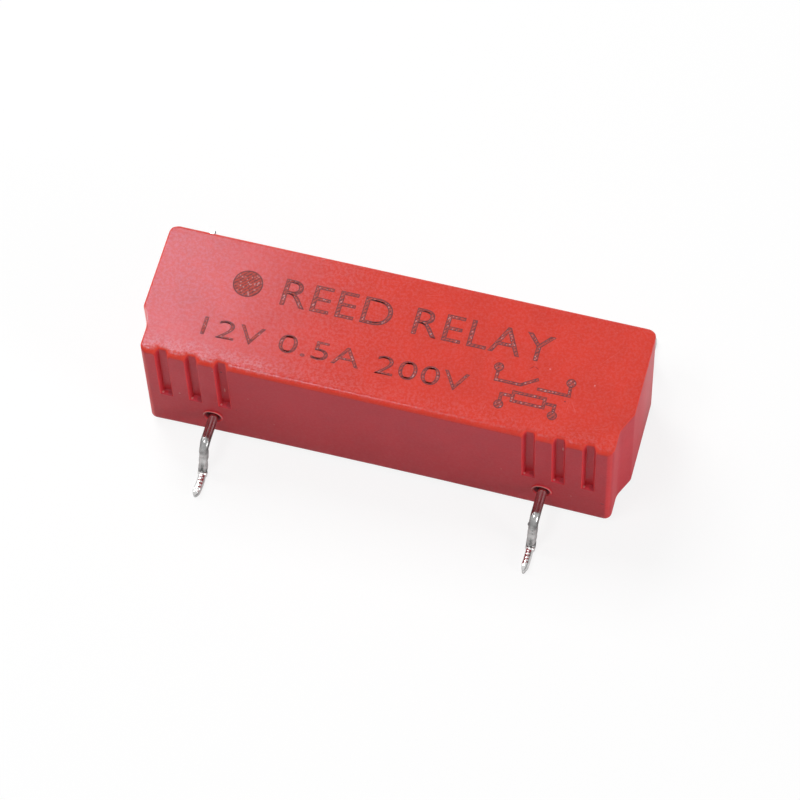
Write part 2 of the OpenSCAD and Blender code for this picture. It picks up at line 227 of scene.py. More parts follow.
class StageSettings(bpy.types.PropertyGroup):
    """Floor, lamps and camera"""

    floor: FloatVectorProperty(
        name="Floor", description="Colour of the floor as it lights the relay",
        subtype="COLOR", size=3, min=0, max=1, default=(0.5, 0.5, 0.5))
    sky: FloatProperty(
        name="Sky", description="Brightness of the light from all round",
        default=0.13, min=0, max=1)
    azimuth: FloatProperty(
        name="Azimuth", description="Direction that the camera looks along, from +Y",
        default=math.radians(17.54), subtype="ANGLE")
    elevation: FloatProperty(
        name="Elevation", description="Height of the camera above the horizon",
        default=math.radians(61.311), subtype="ANGLE")
    roll: FloatProperty(
        name="Roll", description="Turn of the camera about its own axis",
        default=math.radians(-2.853), subtype="ANGLE")
    distance: FloatProperty(
        name="Distance", description="From the camera to the point it looks at",
        default=222.172 * MM, unit="LENGTH", precision=4)
    aim: FloatVectorProperty(
        name="Aim", description="Point that the camera looks at", subtype="TRANSLATION",
        size=3, default=(0.779 * MM, -1.768 * MM, 4.7 * MM), precision=5)


class Socket:
    """An output of a shader node, with the sums that the finishes are written in"""

    def __init__(self, tree, link=None):
        self.tree = tree
        self.link = link

    def node(self, kind, settings=None, inputs=None, output=0):
        """Adds a node. Its settings are set first, then its sockets get values or links."""
        made = self.tree.nodes.new("ShaderNode" + kind)
        for name, value in (settings or {}).items():
            setattr(made, name, value)
        for key, value in (inputs or {}).items():
            if isinstance(value, Socket):
                self.tree.links.new(value.link, made.inputs[key])
            else:
                made.inputs[key].default_value = value
        return Socket(self.tree, made.outputs[output] if made.outputs else None)

    def maths(self, operation, *terms):
        """One sum on numbers or on other sockets."""
        return self.node("Math", {"operation": operation}, dict(enumerate(terms)))

    def __add__(self, other):
        return self.maths("ADD", self, other)

    __radd__ = __add__

    def __sub__(self, other):
        return self.maths("SUBTRACT", self, other)

    def __rsub__(self, other):
        return self.maths("SUBTRACT", other, self)

    def __mul__(self, other):
        return self.maths("MULTIPLY", self, other)

    __rmul__ = __mul__

    def __truediv__(self, other):
        return self.maths("DIVIDE", self, other)

    def __rtruediv__(self, other):
        return self.maths("DIVIDE", other, self)

    def larger(self, other):
        return self.maths("MAXIMUM", self, other)

    def smaller(self, other):
        return self.maths("MINIMUM", self, other)

    def size(self):
        return self.maths("ABSOLUTE", self)

    def wave(self):
        return self.maths("SINE", self)

    def step(self, low, high):
        """A smooth step from 0 at low to 1 at high; high may be below low."""
        return self.node("MapRange", {"interpolation_type": "SMOOTHSTEP"},
                         {"Value": self, "From Min": low, "From Max": high})

    def mix(self, a, b):
        """The colour a where this is 0 and b where it is 1."""
        inputs = {0: self, 6: opaque(a), 7: opaque(b)}
        return self.node("Mix", {"data_type": "RGBA"}, inputs, output=2)

    def scaled(self, factors):
        """This place, with each axis times its own factor."""
        return self.node("VectorMath", {"operation": "MULTIPLY"}, {0: self, 1: factors})

    def turned(self, axis, angle):
        """This place, turned about an axis through the origin."""
        settings = {"rotation_type": "AXIS_ANGLE"}
        return self.node("VectorRotate", settings,
                         {"Vector": self, "Axis": axis, "Angle": angle})

    def moved(self, shift):
        """This place, with a vector added."""
        return self.node("VectorMath", {"operation": "ADD"}, {0: self, 1: shift})

    def length(self):
        return self.node("VectorMath", {"operation": "LENGTH"}, {0: self}, output="Value")

    def axis(self, name):
        return self.node("SeparateXYZ", None, {0: self}, output=name)

    def grain(self, scale, detail, roughness=0.5):
        """Noise from 0 to 1 with that many waves in each millimetre."""
        return self.node("TexNoise", None, {
            "Vector": self, "Scale": scale, "Detail": detail, "Roughness": roughness})

    def cells(self, scale):
        """Distance from the middle of the nearest of many small cells."""
        return self.node("TexVoronoi", None, {"Vector": self, "Scale": scale})


def opaque(colour):
    """A colour with its alpha, or a link as it is."""
    if isinstance(colour, Socket):
        return colour
    return (*tuple(colour)[:3], 1.0)


def finish(paint):
    """Turns a function that gives a shader's inputs into one that makes a material of the
    same name. The function gets the place in millimetres, and then the colours."""
    def make(*colours):
        material = bpy.data.materials.new(paint.__name__)
        material.use_nodes = True
        tree = material.node_tree
        tree.nodes.clear()
        place = Socket(tree).node("TexCoord", output="Object").scaled((1 / MM, 1 / MM, 1 / MM))
        shader = place.node("BsdfPrincipled", None, paint(place, *colours))
        place.node("OutputMaterial", None, {"Surface": shader})
        return material
    return make


def relief(height, depth):
    """A bump of that depth in millimetres where height goes from 0 to 1."""
    return height.node("Bump", None, {
        "Height": height, "Distance": depth * MM, "Strength": 1.0})


# Small flaws of the case, in millimetres: how deep they go, and where its faces lie
FLAW_DEPTH = 0.1
TOP_FACE = 8.8
FRONT_FACE = -4.38
GROOVE_FLOOR = -4.03


def on_top(x, y, along, across, turn=0):
    """A flaw of the top: its middle, its reach along each axis, and its turn about Z."""
    return (x, y, TOP_FACE), (along, across, FLAW_DEPTH), turn


def on_front(x, z, along, high, y=FRONT_FACE):
    """A flaw of the front or of a groove's floor, said in the same way."""
    return (x, y, z), (along, FLAW_DEPTH, high), 0


# Pale specks of the case; the last entry is a painted highlight along the top edge of the left
# end's step
PALE_FLAWS_AND_HIGHLIGHT = [
    on_top(9.41, 0.24, 0.06, 0.05), on_top(12.2, -0.19, 0.05, 0.07),
    on_front(7.06, 1.58, 0.05, 0.06), on_front(7.63, 3.88, 0.05, 0.07),
    on_front(11.89, 2.45, 0.06, 0.05), on_front(-7.83, 5.51, 0.04, 0.06),
    on_front(-6.37, 2.93, 0.07, 0.06), on_front(-6.5, 1.58, 0.04, 0.05),
    on_front(-12.15, 4.32, 0.08, 0.07), on_front(-9.86, 8.03, 0.04, 0.06),
    on_front(-9.38, 5.3, 0.06, 0.3, GROOVE_FLOOR), on_front(11.26, 7.5, 0.07, 0.24, GROOVE_FLOOR),
    ((14.2, -2.7, 0.72), (0.12, 0.12, 0.3), 0),
    # Painted highlight along the top edge of the left end's step
    ((-14.53, -2.12, 8.77), (0.12, 0.8, 0.14), 0.434),
]
DARK_FLAWS = [
    on_top(10.76, -1.64, 0.06, 0.05), on_top(8.37, 0.09, 0.2, 0.022, 0.8),
    on_top(8.65, 0.12, 0.18, 0.022, -0.5), on_front(13.79, 2.37, 0.15, 0.045),
    on_front(-8.67, 3.74, 0.05, 0.05), on_front(-9.45, 7.5, 0.09, 0.08, GROOVE_FLOOR),
    on_top(2.3, -1.6, 0.035, 0.035), on_top(-13.1, 1.9, 0.03, 0.05),
]
SCRATCHES = [
    on_top(11.02, -1.93, 0.5, 0.018, 1.47), on_top(11.35, -1.9, 0.55, 0.02, -1.04),
    on_top(6.31, -3.24, 0.36, 0.016, 1.44), on_top(6.21, 0.05, 0.3, 0.02, 0.7),
    on_top(5.46, 0.02, 0.22, 0.02, 0.2), on_top(5.76, -0.05, 0.14, 0.02, -0.76),
    on_top(12.6, 1.8, 0.9, 0.016, 0.9), on_top(1.6, 3.4, 0.7, 0.016, 0.3),
    on_top(-3.4, 3.1, 0.5, 0.018, -0.6), on_top(13.2, -2.9, 0.6, 0.016, 0.35),
]


def spots(place, flaws):
    """1 within any of the small ellipsoids, fading to 0 at their edges."""
    nearest = None
    for middle, reach, angle in flaws:
        own = place.moved([-c for c in middle])
        if angle:
            own = own.turned((0, 0, 1), -angle)
        away = own.scaled([1 / r for r in reach]).length()
        nearest = away if nearest is None else nearest.smaller(away)
    return nearest.step(1.0, 0.55)


def round_front_holes(place, mask):
    """A mask round the two front lead holes. mask gets the place as seen from a hole's mouth
    and the distance from the hole's axis."""
    found = None
    for (x, y, z), outward in hole_places():
        if outward[1] < 0:
            own = place.moved((-x, -y, -z))
            value = mask(own, own.scaled((1, 0, 1)).length())
            found = value if found is None else found.larger(value)
    return found


def rim_highlight(own, away):
    """1 along the upper edge of the rim, where a highlight is painted."""
    ring = (away - MOUTH_R - 0.07).size().step(0.05, 0.015)
    return ring * own.axis("Z").step(-0.1, 0.2) * own.axis("Y").step(0.0, -0.01)


def hole_shade(own, away):
    """1 inside the hole, where painted shade darkens the plastic."""
    inner = away.step(MOUTH_R + 0.02, MOUTH_R - 0.06)
    return inner * own.axis("Y").step(-0.01, 0.06) * own.axis("Y").step(1.4, 1.2)


@finish
def red_plastic(place, colour):
    """Moulded red plastic: orange peel, faint mottling, specks and handling scratches, with painted
    shade and painted highlights and sheen
    """
    # Painted light: the walls are painted a cooler red than the top, standing in for the cooler
    # light that falls on them
    walls = (colour[0] * 0.975, colour[1] * 0.722, colour[2] * 1.95)
    # Painted shade: the lower walls are painted darker, as shade near the floor
    shaded_low_walls = (colour[0] * 0.875, colour[1] * 0.43, colour[2] * 1.2)
    # Painted highlight: the rounded upright corners get a brighter red
    corners = (0.84, 0.038, 0.042)
    # Painted light: the rounded top edges get a lighter red, as if more lit
    edges = (0.88, 0.066, 0.038)
    # Painted glints at the lower left of each groove's ledge
    glints = [((x - 0.26, -HALF_W + 0.13, GROOVE_FOOT + 0.045), (0.1, 0.14, 0.045), 0)
              for x in GROOVE_CENTRES]
    # Painted shade in the lower right corner of each groove's ledge
    shades = [((x + 0.24, -HALF_W + 0.2, GROOVE_FOOT + 0.06), (0.26, 0.3, 0.14), 0)
              for x in GROOVE_CENTRES]
    facing = place.node("TexCoord", output="Normal")
    height = place.axis("Z").step(CASE_TOP - 0.9, CASE_TOP - 0.5)
    top = facing.axis("Z").step(0.6, 0.95) * height
    upward = facing.axis("Z").step(0.05, 0.4) * height
    ends = facing.axis("X").size().step(0.6, 0.95) * place.axis("Y").step(2.6, -0.6)
    # Painted shade: the walls darken towards the foot, all but the end walls
    foot = place.axis("Z").step(CASE_TOP - 1, CASE_FOOT) * (1 - ends)
    aside = facing.axis("X").size()
    corner = aside.step(0.08, 0.35) * aside.step(0.93, 0.7) * (1 - upward)
    front_strip = place.axis("Y").step(-2.8, -3.8) * top
    left = place.axis("X").step(3.0, -7.0)
    peel = place.grain(4.5, 3.0, 0.6)
    fine = place.grain(13.0, 2.0, 0.55)
    cloud = place.grain(0.35, 3.0, 0.6)
    base = upward.mix(foot.mix(walls, shaded_low_walls), colour)
    # Painted sheen: the left of the top, where the lamp's sheen lies, is painted cooler
    base = (top * left).mix(base, base.scaled((0.945, 1.0, 1.1)))
    # Painted light on the rounded top edges
    base = (upward * (1 - top)).mix(base, edges)
    # Painted highlight on the upright corners
    base = corner.mix(base, corners)
    dust = 1 - place.cells(1.9).step(0.02, 0.05)
    dust = dust * place.moved((3, 1, 2)).grain(0.6, 1.0).step(0.5, 0.6)
    # Pale specks, with the painted groove glints and the painted highlight on the left step
    pale = spots(place, PALE_FLAWS_AND_HIGHLIGHT + glints) * (0.6 + fine * 0.6)
    dark = spots(place, DARK_FLAWS)
    lines = spots(place, SCRATCHES)
    base = (cloud * 0.75 + fine * 0.25).step(0.3, 0.7).mix(
        base.scaled((0.95, 0.95, 0.95)), base.scaled((1.05, 1.05, 1.05)))
    base = (dust * 0.4).mix(base, (0.8, 0.24, 0.2))
    base = (pale * 0.6).mix(base, (0.85, 0.42, 0.4))
    base = (lines * 0.25).mix(base, (0.9, 0.25, 0.2))
    # Pale speckles of grain all over, with painted sheen and sparkle on the top's left and along
    # its front strip
    speckle_and_sheen = place.moved((5, 2, 9)).grain(5.5, 2.0, 0.7).step(0.35, 0.7)
    sheen = place.axis("X").step(-5.0, -7.5)
    speckle_and_sheen = speckle_and_sheen * (0.03 + top * 0.02 + top * left * 0.05 + front_strip * 0.035
                         + front_strip * sheen * 0.15)
    base = speckle_and_sheen.mix(base, (0.95, 0.6, 0.65))
    # Painted highlight along the upper edge of each front hole's rim
    base = (round_front_holes(place, rim_highlight) * (0.3 + fine * 0.6)).mix(base, (0.72, 0.4, 0.38))
    base = (dark * 0.8).mix(base, (0.16, 0.025, 0.04))
    # Painted shade in the groove corners
    base = (spots(place, shades) * 0.3).mix(base, (0.12, 0.012, 0.016))
    # Painted shade inside the front lead holes
    base = (round_front_holes(place, hole_shade) * 0.75).mix(base, (0.05, 0.01, 0.015))
    bumps = peel * 0.65 + fine * 0.35 - lines * 0.3 - dark * 0.6 + (dust + pale) * 0.5
    return {
        "Base Color": base,
        "Roughness": 0.42 - top * 0.32 + ends * 0.12 + front_strip * 0.02
        + (peel - 0.5) * 0.06 + lines * 0.15,
        "Specular IOR Level": 0.25,
        "Specular Tint": (0.35, 0.7, 0.94, 1.0),
        "Normal": relief(bumps, 0.0055),
        "Subsurface Weight": 0.4,
        "Subsurface Radius": (1.0, 0.2, 0.12),
        "Subsurface Scale": 0.3 * MM,
    }


@finish
def laser_mark(place, ink, plastic):
    """Plastic that a laser has scorched: a dark outline, slanting lines and pale blisters"""
    inside = place.node("Attribute", {"attribute_name": "inside"}, output="Fac")
    rough = place.grain(7.5, 2.0, 0.65)
    sway = (place.moved((1, 4, 0)).grain(2.0, 1.0) - 0.5) * 2.5
    hatch = (place.turned((0, 0, 1), 0.75).axis("X") * 34.0 + sway).wave() * 0.5 + 0.5
    outline = inside.step(1.0, 0.45) * rough.step(0.2, 0.36)
    burnt = (hatch * 0.3 + rough).step(0.55, 0.85).larger(outline)
    blister = (0.5 - place.moved((2, 5, 1)).cells(5.5)).step(0.12, 0.28) * (1 - outline)
    base = burnt.mix([c * 0.62 + 0.03 for c in plastic], ink)
    base = (blister * rough.step(0.35, 0.6) * 0.7).mix(base, (0.68, 0.38, 0.4))
    return {
        "Base Color": base,
        "Roughness": 0.6 - blister * 0.15,
        "Specular IOR Level": 0.2,
        "Normal": relief(rough + blister * 0.5 - outline * 0.5, 0.012),
    }


@finish
def tinned_wire(place, tin):
    """Bright tinned copper, darkened by tarnishing and by painted dark reflection, and pressed
    where the leg and the foot were formed
    """
    tarnish_and_reflection = place.node("Attribute", {"attribute_name": "tarnish_and_reflection"}, output="Fac")
    haze = place.grain(2.6, 3.0, 0.65) - 0.5
    pits = place.moved((4, 2, 7)).grain(9.0, 3.0, 0.6)
    drawn = place.scaled((34.0, 1.2, 34.0)).grain(1.0, 1.0)
    # Darkening from tarnishing and painted dark reflection
    dark = (tarnish_and_reflection + haze * tarnish_and_reflection * 1.2 + (drawn - 0.5) * 0.2).larger(0.0).smaller(1.0)
    dark = dark.larger(pits.step(0.62, 0.72) * tarnish_and_reflection)
    return {
        "Base Color": dark.mix(tin, [c * 0.16 for c in tin]),
        "Metallic": 1.0,
        "Roughness": 0.1 + tarnish_and_reflection * 0.14,
        "Normal": relief(pits * (0.2 + tarnish_and_reflection * 0.5) + drawn * 0.25, 0.008),
    }


@finish
def potting_epoxy(place, colour):
    """Dark cast epoxy with a slightly wavy gloss, fine filler and pinholes"""
    swell = place.grain(0.5, 2.0)
    filler = place.grain(11.0, 2.0, 0.6)
    holes = 1 - place.cells(0.9).step(0.03, 0.08)
    base = filler.step(0.45, 0.75).mix(colour, [c * 2.2 for c in colour])
    return {
        "Base Color": base,
        "Roughness": 0.32 + filler * 0.15,
        "Normal": relief(swell * 3.0 + filler * 0.2 - holes * 1.5, 0.02),
    }


@finish
def bobbin_plastic(place, colour):
    """Glass-filled black moulding with a matt skin and short fibre marks"""
    fibre = place.scaled((2.5, 14.0, 14.0)).grain(1.0, 2.0, 0.6)
    skin = place.grain(8.0, 2.0)
    return {
        "Base Color": fibre.step(0.5, 0.75).mix(colour, [c * 2.5 for c in colour]),
        "Roughness": 0.5 + skin * 0.15,
        "Normal": relief(fibre * 0.6 + skin * 0.4, 0.008),
    }


@finish
def coil_copper(place, colour, wire_size):
    """Enamelled copper wound in close turns"""
    turns = 2 * math.pi / mm(wire_size)
    lay = place.axis("X") + place.grain(0.4, 1.0) * 0.05
    ridge = (lay * turns).wave() * 0.5 + 0.5
    shade = place.grain(1.5, 2.0).step(0.3, 0.7)
    base = shade.mix([c * 0.7 for c in colour], colour)
    # Painted shade in the hollows between the turns
    base = ridge.step(0.3, 0.0).mix(base, [c * 0.3 for c in colour])
    return {
        "Base Color": base,
        "Metallic": 0.85,
        "Roughness": 0.3 + shade * 0.1,
        "Coat Weight": 0.6,
        "Normal": relief(ridge, 0.03),
    }


@finish
def yellow_tape(place, colour):
    """Polyester tape drawn tight over the turns, with faint creases"""
    crease = place.scaled((0.8, 3.0, 3.0)).grain(1.0, 3.0, 0.6)
    return {
        "Base Color": opaque([c * 0.6 for c in colour]),
        "Roughness": 0.25 + crease * 0.12,
        "Normal": relief(crease, 0.02),
    }


@finish
def soft_solder(place):
    """Tin solder that has frozen with a faint grain"""
    frost = place.cells(9.0)
    haze = place.grain(5.0, 2.0)
    return {
        "Base Color": haze.mix((0.55, 0.55, 0.56), (0.78, 0.78, 0.77)),
        "Metallic": 1.0,
        "Roughness": 0.18 + haze * 0.2,
        "Normal": relief(frost + haze, 0.006),
    }


@finish
def seal_glass(place, tint):
    """Greenish drawn glass with faint draw lines and a few seeds"""
    draw = place.scaled((0.3, 5.0, 5.0)).grain(1.0, 1.0)
    seeds = 1 - place.cells(1.6).step(0.02, 0.06)
    return {
        "Base Color": (seeds * 0.5).mix(tint, (1, 1, 1)),
        "Roughness": 0.02 + seeds * 0.1,
        "IOR": 1.5,
        "Transmission Weight": 0.95,
        "Normal": relief(draw + seeds, 0.004),
    }


@finish
def reed_alloy(place, colour):
    """Nickel-iron wire with draw lines, heat-tinted where the glass was sealed to it"""
    draw = place.scaled((0.6, 30.0, 30.0)).grain(1.0, 2.0)
    tint = place.axis("X").size().step(8.0, 9.2) * place.axis("X").size().step(11.0, 9.8)
    return {
        "Base Color": (tint * 0.6).mix(colour, (0.3, 0.22, 0.16)),
        "Metallic": 1.0,
        "Roughness": 0.2 + draw * 0.2,
        "Normal": relief(draw, 0.004),
    }


@finish
def weld_spot(place):
    """Resistance weld, dull and rippled"""
    ripple = place.grain(9.0, 3.0, 0.6)
    return {
        "Base Color": ripple.mix((0.2, 0.19, 0.19), (0.5, 0.47, 0.42)),
        "Metallic": 1.0,
        "Roughness": 0.35 + ripple * 0.2,
        "Normal": relief(ripple, 0.015),
    }


def arc_of_corner(a, b, c, radius):
    """Points and outward normals of the arc that rounds corner b of an anticlockwise outline."""
    before, after = (b - a).normalized(), (c - b).normalized()
    turn = math.atan2(before.x * after.y - before.y * after.x, before.dot(after))
    bend = math.copysign(radius, turn)
    start = b - before * abs(radius * math.tan(turn / 2))
    side = Vector((before.y, -before.x))
    centre = start - side * bend
    points, normals = [], []
    for i in range(CORNER_STEPS + 1):
        facing = Matrix.Rotation(turn * i / CORNER_STEPS, 2) @ side
        points.append(centre + facing * bend)
        normals.append(facing)
    return points, normals


def rounded_outline(corners, radii, along):
    """Points and normals of a closed outline. along[i] says where points lie on the side that
    follows corner i, as shares of its straight stretch."""
    corners = [Vector(c) for c in corners]
    count = len(corners)
    arcs = [arc_of_corner(corners[i - 1], corners[i], corners[(i + 1) % count], radii[i])
            for i in range(count)]
    points, normals = [], []
    for i, (arc, facing) in enumerate(arcs):
        points += arc
        normals += facing
        end = arcs[(i + 1) % count][0][0]
        for share in along[i]:
            points.append(arc[-1].lerp(end, share))
            normals.append(facing[-1])
    return np.array(points, float), np.array(normals, float)


def case_outline(end_in, side_in, along):
    """The plan of the case, drawn in by a wall, from its front left corner."""
    back = HALF_L - end_in
    front = back - END_STEP
    half = HALF_W - side_in
    front_r = max(FRONT_CORNER_R - end_in, LEAST_CORNER_R)
    back_r = max(BACK_CORNER_R - end_in, LEAST_CORNER_R)
    corners = [(-front, -half), (front, -half), (front, -STEP_STOP), (back, -STEP_START),
               (back, half), (-back, half), (-back, -STEP_START), (-front, -STEP_STOP)]
    radii = [front_r, front_r, STEP_INNER_R, STEP_OUTER_R, back_r, back_r, STEP_OUTER_R,
             STEP_INNER_R]
    return rounded_outline(corners, radii, along)


def even(count):
    """Shares that divide a side into equal parts."""
    return [i / count for i in range(1, count)]


def bridge(rings):
    """Vertices and faces of a tube through rings of points, with its ends filled."""
    count = len(rings[0])
    faces = []
    for j in range(len(rings) - 1):
        low, high = j * count, (j + 1) * count
        for i in range(count):
            k = (i + 1) % count
            faces.append((low + i, low + k, high + k, high + i))
    last = (len(rings) - 1) * count
    faces.append(tuple(reversed(range(count))))
    faces.append(tuple(range(last, last + count)))
    return np.concatenate(rings), faces


def mesh_piece(name, vertices, faces):
    """An object from points in millimetres, smooth but for its sharp edges."""
    mesh = bpy.data.meshes.new(name)
    mesh.from_pydata((np.asarray(vertices) * MM).tolist(), [], faces)
    mesh.update()
    piece = bpy.data.objects.new(name, mesh)
    bpy.context.scene.collection.objects.link(piece)
    shade(piece)
    return piece


def shade(piece, sharp_angle=SHARP_ANGLE):
    """Smooth shading, with edges above an angle in degrees left sharp."""
    piece.data.shade_smooth()
    piece.data.set_sharp_from_angle(angle=math.radians(sharp_angle))


def settle(piece):
    """Puts what the modifiers make into the piece's own mesh."""
    bpy.context.view_layer.update()
    shown = piece.evaluated_get(bpy.context.evaluated_depsgraph_get())
    mesh = bpy.data.meshes.new_from_object(shown)
    piece.modifiers.clear()
    old = piece.data
    piece.data = mesh
    bpy.data.meshes.remove(old)


def carve(piece, tool, operation):
    """Joins a tool to a piece or cuts it out, and removes the tool."""
    cut = piece.modifiers.new(operation.lower(), "BOOLEAN")
    cut.operation = operation
    cut.object = tool
    cut.solver = "EXACT"
    settle(piece)
    bpy.data.objects.remove(tool)


def lathe(name, profile, place, outward, steps=64):
    """A round solid from (radius, height) pairs, standing at a place with its axis outward."""
    turn = Vector((0, 0, 1)).rotation_difference(Vector(outward))
    rings = []
    for radius, height in profile:
        ring = []
        for i in range(steps):
            angle = 2 * math.pi * i / steps
            point = Vector((radius * math.cos(angle), radius * math.sin(angle), height))
            ring.append(turn @ point + Vector(place))
        rings.append(np.array(ring))
    return mesh_piece(name, *bridge(rings))


def dress(piece, material, node=None):
    """Gives a new piece its finish and its body, and hides the solid that it stands for."""
    piece.data.materials.clear()
    piece.data.materials.append(material)
    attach(piece, "relay")
    if node:
        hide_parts(node)


def refinish(slot, material, *nodes):
    """Gives solids that stay a better finish."""
    for node in nodes:
        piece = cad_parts[node]
        piece.data.materials.clear()
        piece.data.materials.append(material)
        for face in piece.data.polygons:
            face.material_index = 0
        shade(piece)


# Grooves in the front wall, in millimetres: three at each end, the outer one first
GROOVE_START = 1.38
GROOVE_PITCH = 1.81
GROOVE_CENTRES = [side * (HALF_L - END_STEP - GROOVE_START - i * GROOVE_PITCH) + DETAIL_SHIFT
                  for side in (-1, 1) for i in range(3)]
GROOVE_FLANK = 0.32
GROOVE_FOOT = CASE_FOOT + 3.24
GROOVE_LEDGE = 0.07
GROOVE_EDGE = 0.2
GROOVE_TOP_R = 0.22
GROOVE_SPREAD = 0.14
GROOVE_EASE = 0.5
GROOVE_LEAD_IN = 0.55


def groove_cut(x, y, z, width, depth):
    """How deep the grooves cut into the front wall there."""
    nearest = np.min([np.abs(x - centre) for centre in GROOVE_CENTRES], axis=0)
    opening = smooth(z, CASE_TOP - GROOVE_LEAD_IN, CASE_TOP)
    flank = width / 2 + opening * GROOVE_SPREAD - nearest
    flank = flank / (GROOVE_FLANK + opening * GROOVE_EASE)
    ledge = (z - GROOVE_FOOT) / GROOVE_LEDGE * depth
    cut = soft_min(soft_min(flank, ledge, 0.08), depth, 0.08)
    cut = soft_max(cut, 0, GROOVE_EDGE)
    return np.where((y < -HALF_W + 0.01) & (nearest < width * 1.1), cut, 0)


def front_places(half, width):
    """Where points lie along the front: close together at the grooves, and far apart between."""
    offsets = np.concatenate([
        np.linspace(0, 0.2, 5), np.linspace(0.22, 0.44, 20), np.linspace(0.47, 0.8, 9)])
    places = [c + side * u for c in GROOVE_CENTRES for u in offsets for side in (-1, 1)]
    places += list(np.linspace(-half, half, 60))
    places = sorted(round(float(p), 4) for p in places)
    kept = [places[0]]
    for p in places[1:]:
        if p - kept[-1] > 0.009:
            kept.append(p)
    return [(p + half) / (2 * half) for p in kept if -half < p < half]


def case_mesh(settings):
    """Outside, lower edge and cavity of the case as one closed skin."""
    width, depth = mm(settings.groove_width), mm(settings.groove_depth)
    edge_r, end_r = mm(settings.edge_radius), mm(settings.end_radius)
    back_r, foot_r = mm(settings.back_radius), mm(settings.foot_radius)
    half = HALF_L - END_STEP - FRONT_CORNER_R
    along = [front_places(half, width), even(8), even(10), even(24), even(60), even(24),
             even(10), even(8)]
    plan, facing = case_outline(0, 0, along)
    inner, inner_facing = case_outline(END_WALL, SIDE_WALL, along)
    x, y = plan.T
    long_side = smooth(np.abs(facing[:, 1]), 0.5, 1.0)

    bow_along = np.clip(1 - (x / (HALF_L - END_STEP)) ** 2, 0, 1) * (np.abs(facing[:, 1]) > 0.9)

    def ring(points, normals, inset, z):
        low = np.clip((CASE_TOP - 1 - z) / (CASE_TOP - 1 - CASE_FOOT), 0, 1)
        bow = WALL_BOW * bow_along * low if points is plan else 0
        moved = points - normals * np.broadcast_to(inset + bow, len(points))[:, None]
        return np.column_stack([moved, np.broadcast_to(z, len(points))])

    def cut_at(z):
        return groove_cut(x, y, np.broadcast_to(z, len(x)), width, depth)

    top_cut = cut_at(CASE_TOP)
    top_r = end_r + (np.where(facing[:, 1] < 0, edge_r, back_r) - end_r) * long_side
    top_r = top_r + (GROOVE_TOP_R - top_r) * np.clip(top_cut / depth, 0, 1)
    burr = waver(np.column_stack([plan, np.zeros(len(plan))]), 0.9, 2) * 0.03

    cavity_top = CASE_TOP - ROOF_T
    rings = [ring(inner, inner_facing, 0, cavity_top),
             ring(inner, inner_facing, 0, CASE_FOOT + 0.06),
             ring(inner, inner_facing, -0.05, CASE_FOOT + burr)]
    for angle in np.linspace(0, math.pi / 2, 5):
        rise = foot_r * (1 - math.cos(angle))
        keep = 1 - rise / foot_r
        rings.append(ring(plan, facing, foot_r * (1 - math.sin(angle)),
                          CASE_FOOT + rise + burr * keep))
    ledge_top = GROOVE_FOOT + GROOVE_LEDGE
    levels = np.concatenate([
        np.arange(CASE_FOOT + 0.4, GROOVE_FOOT - 0.2, 0.5),
        np.linspace(GROOVE_FOOT - 0.06, ledge_top + 0.05, 24),
        np.arange(ledge_top + 0.35, CASE_TOP - GROOVE_LEAD_IN - 0.1, 0.5),
        np.linspace(CASE_TOP - GROOVE_LEAD_IN, CASE_TOP - edge_r - 0.04, 4)])
    for z in levels:
        rings.append(ring(plan, facing, cut_at(z), z))
    for angle in np.linspace(0, math.pi / 2, 9):
        z = CASE_TOP - top_r * (1 - math.sin(angle))
        rings.append(ring(plan, facing, cut_at(z) + top_r * (1 - math.cos(angle)), z))
    rings.append(ring(plan, facing, top_cut + top_r + 0.04, CASE_TOP))
    return bridge(rings)


def hole_places():
    """Centre of each lead hole on its wall, and the way out."""
    for side in (-1, 1):
        yield (side * COIL_X + DETAIL_SHIFT, -HALF_W, LEAD_Z + DETAIL_SHIFT), (0, -1, 0)
        yield (side * SWITCH_X + DETAIL_SHIFT, HALF_W, LEAD_Z + DETAIL_SHIFT), (0, 1, 0)


class RELAY_OT_case(bpy.types.Operator):
    """Build the red moulded case"""

    bl_idname = "relay.case"
    bl_label = "Case"

    def execute(self, context):
        settings = context.scene.relay_plastic
        case = mesh_piece("case_moulding", *case_mesh(settings))
        flare = (MOUTH_R - HOLE_R) / MOUTH_DEPTH
        rim = MOUTH_R + RIM_H * flare + RIM_W
        for place, outward in hole_places():
            collar = [(rim + 0.025, -0.3), (rim + 0.025, -0.01), (rim + 0.015, 0.4 * RIM_H),
                      (rim, 0.85 * RIM_H), (rim - 0.02, RIM_H)]
            carve(case, lathe("collar", collar, place, outward), "UNION")
        for place, outward in hole_places():
            bore = [(HOLE_R, -1.2), (HOLE_R, -MOUTH_DEPTH),
                    (MOUTH_R + RIM_H * flare, RIM_H), (MOUTH_R + RIM_H * flare, 0.4)]
            carve(case, lathe("bore", bore, place, outward), "DIFFERENCE")
        shade(case, 32)
        weighted = case.modifiers.new("flat_faces", "WEIGHTED_NORMAL")
        weighted.keep_sharp = True
        weighted.weight = 80
        settle(case)
        dress(case, red_plastic(settings.colour), "case")
        return {"FINISHED"}


def potting_skin(level):
    """The face of the potting, which creeps up the walls of the case as it sets."""
    along = [even(40), even(4), even(4), even(12), even(40), even(12), even(4), even(4)]
    rings = []

    def ring(inset, z):
        plan, _ = case_outline(END_WALL + inset, SIDE_WALL + inset, along)
        creep = waver(np.column_stack([plan, np.zeros(len(plan))]), 0.5, 4)
        drop = MENISCUS * (1 + 0.35 * creep) * math.exp(-max(inset, 0) / MENISCUS_W)
        rings.append(np.column_stack([plan, z - (SKIN + drop) * (inset > -0.03)]))

    ring(0.5, level + 0.1)
    ring(-0.04, level + 0.1)
    for inset in (-0.02, 0.02, 0.06, 0.11, 0.17, 0.25, 0.35, 0.5):
        ring(inset, level)
    vertices, faces = bridge(rings)
    return vertices, [face[::-1] for face in faces]


